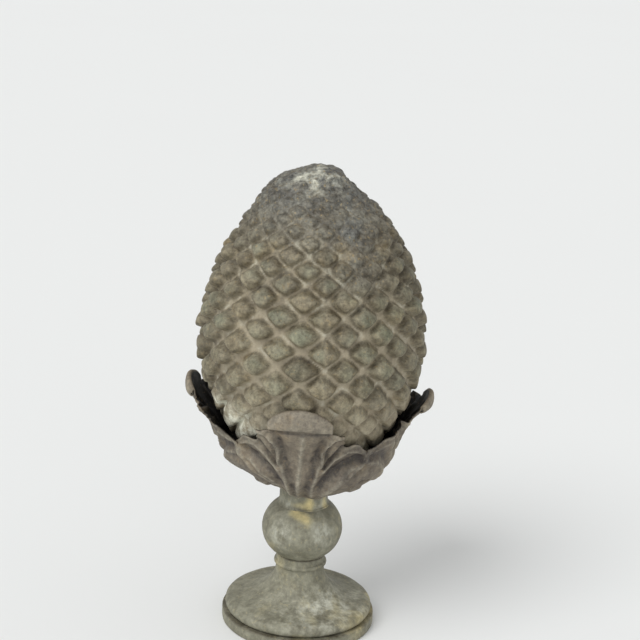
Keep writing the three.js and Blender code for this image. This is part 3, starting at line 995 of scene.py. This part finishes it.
def makeLeaf(side, number):
    look, marks = leafLook, stamping
    own = {name: values[number] for name, values in ownLooks.items()}
    line = leafOutline(own["bend"], own["squareness"])
    leftLine = leafOutline(own["bend"], ownLooks["squareness"][-1])
    middle = look["cupTurn"] + 90 * number
    turn = np.linspace(-look["halfTurn"], look["halfTurn"], look["gridAcross"])
    wobbleAt = [Vector((a / look["wobbleEvery"], number * look["wobbleSeed"], 0)) for a in turn]
    wobble = np.array([noise.noise(at) * look["wobble"] for at in wobbleAt])
    reach = leafReach(own, line, turn, wobble)
    rows = np.linspace(0, line.length, look["gridUp"])[:, None]
    distance = np.minimum(rows, reach)
    turn = np.broadcast_to(turn, distance.shape)
    off = np.abs(turn)

    # Towards the slimmer left leaf a neighbour's outline becomes that leaf's
    likeLeft = smooth(turn * own["likeLeftWay"], *look["likeLeftSpan"])
    along = distance * leftLine.length / line.length
    radius, level = blend(line.point(distance), leftLine.point(along), likeLeft)
    outX, outZ = blend(line.normal(distance), leftLine.normal(along), likeLeft)
    aboveCup = level - cupFloor
    rise = aboveCup - look["bowlDepth"]

    # Front and back leaves are narrow at the neck, and the side leaves fill the rest and tuck under them
    half = blend(look["narrowHalfTurn"], look["halfTurn"], smooth(aboveCup, *look["narrowSpan"]))
    half = half if own["onTop"] else 2 * look["halfTurn"] - half
    tucked = 0 if own["onTop"] else np.degrees(look["tuck"] / radius)
    spread = turn * (half + tucked) / look["halfTurn"]
    angle = middle + spread
    place = around(radius, angle, level)
    across = np.radians(spread) * radius

    sway = wave(place, marks["sway"], number)
    fade = blend(marks["least"], 1, smooth(aboveCup, *marks["startSpan"])) * fadeOut(rise, *marks["endSpan"])
    relief, ridgeHighlight, hollowShade = stampStrokes(line, np.abs(across) + sway, distance)
    ribAcross = np.interp(aboveCup, midrib["heights"], midrib["across"])
    rib = swell(across - ribAcross + sway * midrib["swayShare"], midrib["width"])
    ridgeHighlight = np.maximum(ridgeHighlight, rib)
    toSide = np.radians(np.maximum(half - np.abs(spread), 0)) * radius
    rim = swell(np.minimum(toSide, reach - distance) - marks["rimInset"], marks["rimWidth"])
    rimHeight = marks["rimHeight"] * smooth(aboveCup, *marks["rimStart"]) * fadeOut(rise, *marks["rimEnd"])
    lift = look["lapLift"] if own["onTop"] else look["tuckedLift"]
    relief = (relief + midrib["relief"] * rib) * fade + rim * rimHeight
    relief = relief + wave(place, marks["hammer"], number)
    relief = relief + lift * swell(toSide, look["lapWidth"]) * fadeOut(aboveCup, *look["lapSpan"])

    # The lip is lens shaped: from its foot on, the outline shrinks towards both ends
    crest = line.distanceAt(line.points[:, 1].max())
    foot = line.distanceAt(cupFloor + look["bowlDepth"] + look["lipFoot"])
    footRadius, footLevel = line.point(foot)
    lipHalf = own["lipHalfAngle"] + look["lipSlack"]
    lens = np.clip(1 - (off / lipHalf) ** 2, 0, 1) ** look["lipRoundness"]
    lens = np.maximum(lens, look["lipEnds"]) * own["lipShare"]
    shrink = np.where(distance > foot, lens, 1)
    radius = footRadius + (radius - footRadius) * shrink
    level = footLevel + (level - footLevel) * shrink

    # Dents, folds and pulls move the sheet inwards
    turned = fromFront(angle)
    dent = softPatch(turned, aboveCup, (*look["lowDentPlace"], own["lowDent"]))
    foldIn = swell(off - look["shoulderFoldTurn"], look["shoulderFoldReach"]) * own["shoulderFold"]
    foldIn = foldIn * smooth(rise, *look["shoulderFoldSpan"])
    foldIn = foldIn * fadeOut(turn * own["farWay"], *look["farSpan"])
    pull = own["pull"] * swell(rise - look["pullRise"], look["pullHalfHeight"])
    radius = radius - dent - foldIn - pull
    lobeFold = look["lobeFold"] * (off / look["halfTurn"]) ** look["lobeFoldPower"]
    lobeFold = lobeFold * smooth(rise, *look["lobeFoldSpan"])

    layers = []
    for depth in (0, look["sheet"]):
        out = relief - depth
        layers.append(around(radius + outX * out - lobeFold, angle, level + outZ * out))
    points = np.stack(layers)
    covered = rows < reach - look["edgeMargin"]
    index = np.arange(2 * distance.size).reshape(2, *distance.shape)
    faces = sheetFaces(covered[:-1, :-1] & covered[:-1, 1:], index)

    # Painted shadow under the lip's curl
    underLipShadow = swell(distance - foot, marks["underLipWidth"]) * fadeOut(off, *marks["underLipSpan"])
    # Painted shade low down, in the sunk strokes and towards the lobes, less in the middle
    undersideShade = marks["undersideShade"] * fadeOut(aboveCup, *marks["undersideSpan"]) * (1 - rib)
    hollowShade = hollowShade * fade * (1 - marks["middleLight"] * swell(turn, marks["middleReach"]))
    hollowShade = hollowShade + marks["lobeShade"] * smooth(off, *marks["lobeDarkSpan"]) + underLipShadow + undersideShade
    # Painted highlights on the raised strokes, midrib, rim and the lip's crest
    onCrest = marks["crestTone"] * smooth(distance - crest, 0, marks["crestReach"])
    # The cup's inner face is painted near black, as shade with dark patina
    inside = fadeOut(distance - crest, marks["insideFrom"], marks["insideTo"])
    bloom = softPatch(turned, aboveCup, leafBloom["low"])
    bloom = bloom * (leafBloom["least"] + wave(place, leafBloom["wave"]))
    none = np.zeros(distance.shape)
    masks = {
        "ridgeHighlight": np.stack((np.clip(ridgeHighlight * fade + marks["rimTone"] * rim, 0, 1), onCrest)),
        "hollowShade": np.stack((np.clip(hollowShade, 0, 1), none)),
        "inside": np.stack((none, inside)),
        "bloom": np.stack((np.clip(bloom, 0, 1), none)),
    }
    used = np.unique(faces)
    renumber = np.zeros(index.size, int)
    renumber[used] = np.arange(len(used))
    masks = {name: values.reshape(-1)[used] for name, values in masks.items()}
    points = points.reshape(-1, 3)[used]
    piece = makePiece("acanthusLeaf_" + side, points, renumber[faces].tolist(), masks, leafZinc)
    fitPiece(piece, "leaf_" + side)


for number, side in enumerate(("front", "right", "back", "left")):
    makeLeaf(side, number)


# Turned pieces under the cup
turnedLook = {
    "segments": 160,
    "step": 1.4,
    "leastStep": 0.05,
    "dent": (26, 50, 3, 0.28),
    "fineDent": (8, 51, 2, 0.105),
    "dentsFrom": 8,
    "inset": 0.4,
    "flatBelow": 0.5,
    "knopRadius": 42.2,
    "solderOut": 2.6,
    "solderTall": 6,
    "solderLap": 1.9,
    "topBevel": 1,
    "neckTopDrop": 0.4,
    "footTopDrop": 0.6,
    "flareStep": 1,
    "footRadius": 80,
    "plinthHeight": 12,
    "torusHeight": 12,
    "torusInset": 3,
    "flareHeight": 38,
    "flareBottomRadius": 69,
    "beadRadius": 2.6,
    "edgeRound": 1.5,
}

# Soft patches of dark joint, ochre stain and pale bloom; the ball's pale patches are painted reflections of
# the soft lights
allRound = 300
jointHalfHeight = 1.1
turnedMarks = {
    "neck": {
        "joint": [(-2, 14, neckBottom, jointHalfHeight, 1)],
        "stain": [
            (16, 11, neckTop - 12, 14, 1.3),
            (-6, 34, neckBottom + 3, 5, 1.1),
            (62, 12, neckTop - 14, 12, 0.8),
        ],
        "bloom": [(-38, 26, neckBottom + 3, 4, 0.7), (52, 24, neckBottom + 3, 4, 0.7)],
    },
    "ball_knop": {
        "joint": [(0, allRound, knopBottom, jointHalfHeight, 1)],
        "stain": [
            (-16, 18, knopTop - 3, 5, 1.5),
            (6, 15, knopTop - 8, 6, 1.5),
            (10, 7, knopTop - 20, 14, 0.5),
        ],
        # These pale patches are painted reflections of the soft lights, not oxide
        "bloom": [(-32, 16, knopTop - 22, 12, 0.9), (30, 16, knopTop - 22, 12, 0.8)],
    },
    "foot": {
        "joint": [
            (0, allRound, footTop, jointHalfHeight, 1),
            (0, allRound, turnedLook["plinthHeight"], jointHalfHeight, 1),
        ],
        "stain": [(-30, 40, footTop - 14, 20, 0.9)],
        "bloom": [(40, 50, 30, 12, 0.8)],
    },
}


def makeTurned(name, node, profile):
    look = turnedLook
    line = Outline(profile)
    even = np.linspace(0, line.length, int(line.length / look["step"]))
    distance = np.sort(np.concatenate((even, line.at[1:-1])))
    distance = distance[np.concatenate(([True], np.diff(distance) > look["leastStep"]))]
    angle = np.arange(look["segments"]) * 360 / look["segments"]
    angle, distance = np.meshgrid(angle, distance[1:-1])
    radius, level = line.point(distance)
    flat = around(radius, angle, level)
    outX, outZ = line.normal(distance)
    free = smooth(radius, 0, look["dentsFrom"])
    dents = (wave(flat, look["dent"]) + wave(flat, look["fineDent"])) * free
    keepsDown = 1 - (level < look["flatBelow"])
    points = around(radius + outX * dents - look["inset"] * free, angle, level + outZ * dents * keepsDown)
    turned = fromFront(angle)
    masks = {}
    for key, places in turnedMarks[node].items():
        masks[key] = sum(softPatch(turned, level, place) for place in places)
    ends = [(0, 0, line.points[-1, 1]), (0, 0, line.points[0, 1])]
    fitPiece(makeRoundPiece(name, points, masks, ends, {}, baseZinc), node)


def knopProfile():
    middle = (knopBottom + knopTop) / 2
    cut = math.acos(neckRadius / turnedLook["knopRadius"])
    halfHeight = (knopTop - knopBottom) / 2 / math.sin(cut)
    reach = math.degrees(cut)
    ball = ellipseArc((0, middle), (turnedLook["knopRadius"], halfHeight), -reach, reach, 60)
    return [(0, knopBottom), *ball, (0, knopTop)]


def neckProfile():
    look = turnedLook
    out, tall = look["solderOut"], look["solderTall"]
    solder = ellipseArc((neckRadius + out, neckBottom + tall), (out, tall + look["solderLap"]), -90, -180, 9)
    top = [(neckRadius, neckTop - look["topBevel"]), (0, neckTop - look["neckTopDrop"])]
    return [(0, neckBottom), (neckRadius, neckBottom), *solder, *top]


def footProfile():
    look = turnedLook
    edge = look["edgeRound"]
    plinthTop = look["plinthHeight"]
    torusTop = plinthTop + look["torusHeight"]
    flareTop = torusTop + look["flareHeight"]
    half = look["torusHeight"] / 2
    hub = look["footRadius"] - look["torusInset"] - half
    side = look["footRadius"] - edge
    lower = ellipseArc((side, edge), (edge, edge), -90, 0, 5)
    upper = ellipseArc((side, plinthTop - edge), (edge, edge), 0, 90, 5)
    torus = ellipseArc((hub, plinthTop + half), (half, half), -80, 80, 16)
    sweep = (look["flareBottomRadius"] - neckRadius, look["flareHeight"] - look["flareStep"])
    flare = ellipseArc((look["flareBottomRadius"], flareTop), sweep, -90, -180, 28)
    small = look["beadRadius"]
    bead = ellipseArc((neckRadius, flareTop + small), (small, small), -80, 80, 9)
    bevel = neckRadius - look["topBevel"]
    top = [(neckRadius, footTop - look["footTopDrop"]), (bevel, footTop), (0, footTop)]
    return [(0, 0), *lower, *upper, *torus, *flare, *bead, *top]


makeTurned("neckTube", "neck", neckProfile())
makeTurned("ballKnop", "ball_knop", knopProfile())
makeTurned("roundFoot", "foot", footProfile())
print("pieces in place")


# Pale studio floor, soft light and the photograph's view
studio = {
    "floorSize": 40,
    "floorDeep": 14,
    "floorTone": (0.825, 0.835, 0.828, 1),
    "floorShade": 0.985,
    "floorRoughness": 0.9,
    "floorClouds": 0.6,
    "worldTone": (0.98, 0.985, 0.985, 1),
    "worldStrength": 0.63,
    "keySun": 1.6,
    "keyFrom": (-0.55, -0.6, 0.9),
    "keySpread": 35,
    "fillSun": 0.5,
    "fillFrom": (0.15, -1, 0.12),
    "fillSpread": 60,
    "lens": 85,
    "sensor": 36,
    "seesTo": 100,
    "distance": 1511,
    "pitch": 16.01,
    "roll": 3.19,
    "aimAcross": 6.7,
    "aimUp": 183,
}


def makeFloor():
    material, tree = newMaterial("studioFloor")
    shader = tree.nodes["Principled BSDF"]
    shader.inputs["Roughness"].default_value = studio["floorRoughness"]
    place = tree.nodes.new("ShaderNodeTexCoord").outputs["Object"]
    cloud = noiseNode(tree, place, studio["floorClouds"], 2.0)
    shaded = [c * studio["floorShade"] for c in studio["floorTone"][:3]] + [1]
    plug(tree, shader.inputs["Base Color"], mixColour(tree, cloud, studio["floorTone"], shaded))
    half, deep = studio["floorSize"] / 2, studio["floorDeep"]
    corners = [(-half, -deep, 0), (half, -deep, 0), (half, half + deep, 0), (-half, half + deep, 0)]
    mesh = bpy.data.meshes.new("studioFloor")
    mesh.from_pydata(corners, [], [(0, 1, 2, 3)])
    mesh.materials.append(material)
    addObject("studioFloor", mesh)


def addSoftSun(name, fromPlace, strength, spread):
    light = bpy.data.lights.new(name, "SUN")
    light.energy = strength
    light.angle = math.radians(spread)
    addObject(name, light).rotation_euler = (-Vector(fromPlace)).to_track_quat("-Z", "Y").to_euler()


def makeCamera():
    pitch = math.radians(studio["pitch"])
    data = bpy.data.cameras.new("photoView")
    data.lens = studio["lens"]
    data.sensor_width = studio["sensor"]
    data.clip_end = studio["seesTo"]
    camera = addObject("photoView", data)
    aim = Vector((studio["aimAcross"], 0, cupFloor + studio["aimUp"])) / perMetre
    back = Vector((0, -math.cos(pitch), math.sin(pitch))) * studio["distance"] / perMetre
    tilt = Matrix.Rotation(math.pi / 2 - pitch, 4, "X")
    roll = Matrix.Rotation(math.radians(studio["roll"]), 4, "Z")
    camera.matrix_world = Matrix.Translation(aim + back) @ tilt @ roll
    bpy.context.scene.camera = camera


def makeWorld():
    world = bpy.data.worlds.new("studioWorld")
    world.use_nodes = True
    background = world.node_tree.nodes["Background"]
    background.inputs["Color"].default_value = studio["worldTone"]
    background.inputs["Strength"].default_value = studio["worldStrength"]
    bpy.context.scene.world = world
    bpy.context.scene.view_settings.view_transform = "Standard"


makeFloor()
makeCamera()
addSoftSun("keyLight", studio["keyFrom"], studio["keySun"], studio["keySpread"])
addSoftSun("fillLight", studio["fillFrom"], studio["fillSun"], studio["fillSpread"])
makeWorld()
print("studio ready")
